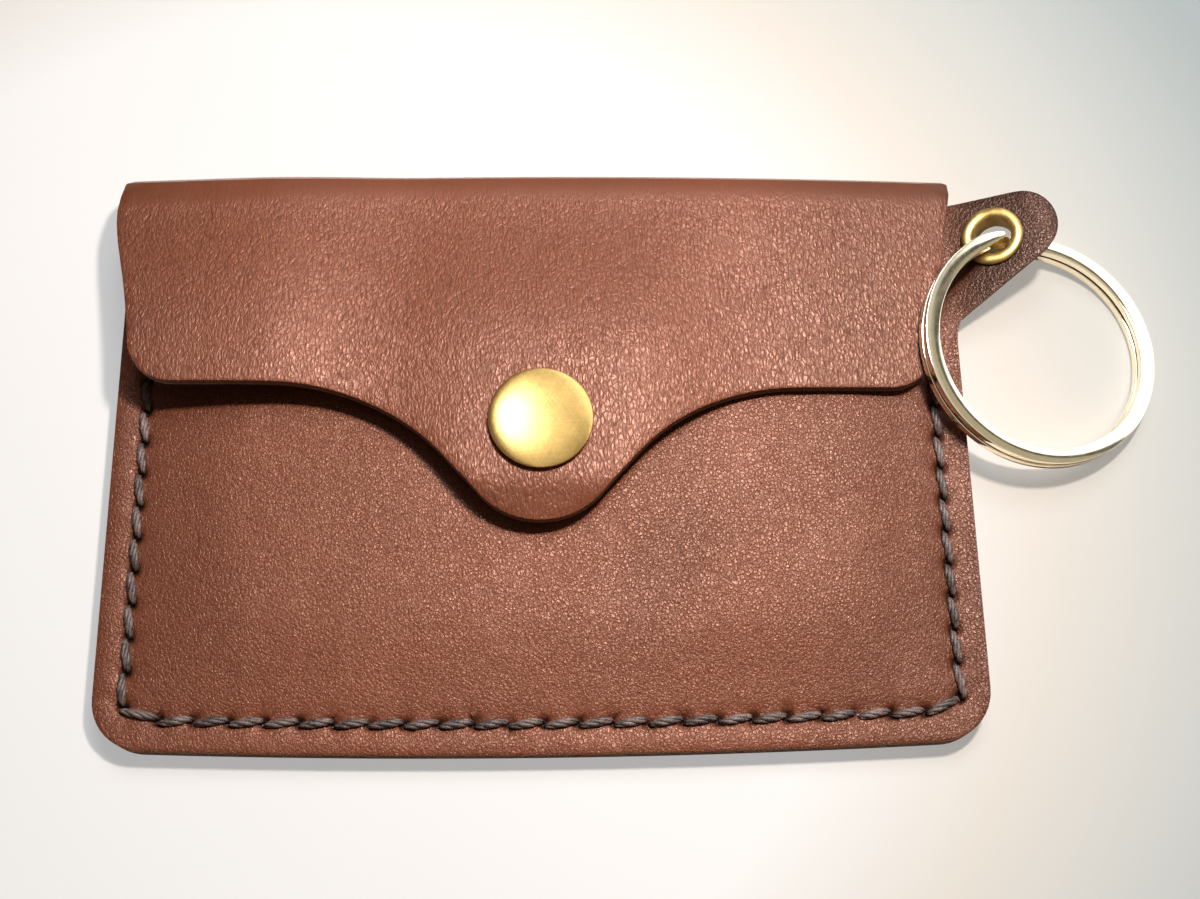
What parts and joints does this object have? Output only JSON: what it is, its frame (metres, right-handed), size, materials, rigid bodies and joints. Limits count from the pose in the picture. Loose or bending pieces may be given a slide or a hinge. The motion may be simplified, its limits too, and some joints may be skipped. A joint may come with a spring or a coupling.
{
  "type": "keychain card wallet",
  "caption": "Leather card wallet with a scalloped snap flap, saddle-stitched pocket and a split key ring on a tab drawn out of the pocket front.",
  "frame": {"origin": "middle of the back panel's outer face, which the wallet lies on", "axes": "+X along the fold towards the key tab, +Y from the bottom seam to the fold, +Z out of the flap"},
  "size_m": [0.128, 0.0734, 0.0102],
  "materials": {
    "leather": "semi-matte fine-grained leather, reddish brown",
    "thread": "waxed twisted thread, dark grey-brown",
    "snap_metal": "satin brushed antique brass",
    "spring_steel": "bare spring wire",
    "eyelet_metal": "satin antique brass",
    "ring_metal": "polished plating with a pale gold tint"
  },
  "bodies": {
    "wallet": {"back_panel": "leather", "front_panel": "leather", "fold_strip": "leather", "seam_thread_a": "thread", "seam_thread_b": "thread", "snap_stud": "snap_metal", "stud_post": "snap_metal", "tab_eyelet": "eyelet_metal", "eyelet_washer": "eyelet_metal"},
    "flap_with_cap": {"flap": "leather", "snap_cap": "snap_metal", "snap_socket": "snap_metal", "socket_spring": "spring_steel"},
    "ring": {"key_ring": "ring_metal"}
  },
  "joints": [
    {"name": "flap_hinge", "type": "hinge", "parent": "wallet", "child": "flap_with_cap", "pos_m": [0, 0.03635, 0.0029], "axis": [-1, 0, 0], "range_deg": [0, 165], "deforming": ["fold_strip", "flap"]},
    {"name": "ring_swing", "type": "hinge", "parent": "wallet", "child": "ring", "pos_m": [0.0571, 0.02608, 0.00518], "axis": [-0.7964, -0.2724, 0.54], "range_deg": [0, 66]}
  ]
}
